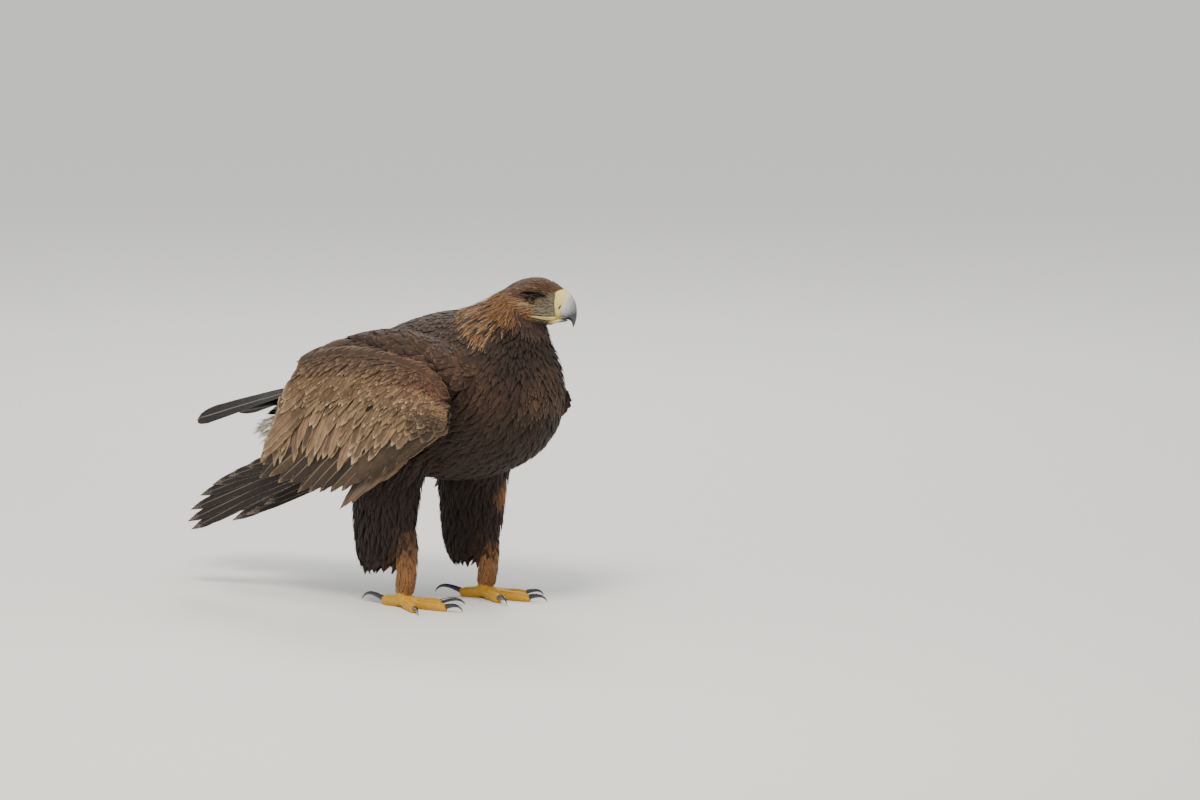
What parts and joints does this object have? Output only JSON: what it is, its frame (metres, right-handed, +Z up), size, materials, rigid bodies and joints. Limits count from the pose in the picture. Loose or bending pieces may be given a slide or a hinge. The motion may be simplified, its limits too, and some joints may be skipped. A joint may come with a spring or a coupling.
{
  "type": "golden eagle",
  "caption": "Golden eagle standing with its body leaned forward, wings held low and half open, head turned a little to its left.",
  "frame": {"origin": "middle of the bounding box in X and Y, at the level of the soles", "axes": "+X the way the body heads, +Y the left side of the body, +Z up"},
  "size_m": [0.6936, 0.326, 0.5465],
  "materials": {
    "back_feather": "soft matt contour feathers",
    "neck_feather": "soft matt lance-shaped feathers",
    "crown_feather": "short matt feathers",
    "cere_skin": "smooth waxy bare skin",
    "bill_horn": "smooth horn",
    "eye": "wet gloss",
    "shoulder_feather": "soft matt feathers",
    "covert_feather": "matt feathers with worn pale edges",
    "flight_feather": "satin flight and tail feathers",
    "trouser_feather": "soft matt feathers",
    "shank_feather": "short soft feathers",
    "toe_skin": "scaled bare skin",
    "claw_horn": "polished horn"
  },
  "bodies": {
    "root": {"torso": "back_feather", "neck": "neck_feather", "head": "crown_feather", "cere": "cere_skin", "bill_upper": "bill_horn", "bill_lower": "bill_horn", "eye_right": "eye", "eye_left": "eye", "tail": "flight_feather", "shoulder_right": "shoulder_feather", "shoulder_left": "shoulder_feather", "wing_right": "covert_feather", "wing_left": "covert_feather", "wing_tip_right": "flight_feather", "wing_tip_left": "flight_feather", "thigh_right": "trouser_feather", "thigh_left": "trouser_feather", "shank_right": "shank_feather", "shank_left": "shank_feather", "foot_right": "toe_skin", "foot_left": "toe_skin", "claw_right_middle": "claw_horn", "claw_left_middle": "claw_horn", "claw_right_inner": "claw_horn", "claw_left_inner": "claw_horn", "claw_right_outer": "claw_horn", "claw_left_outer": "claw_horn", "claw_right_hind": "claw_horn", "claw_left_hind": "claw_horn"}
  },
  "joints": []
}
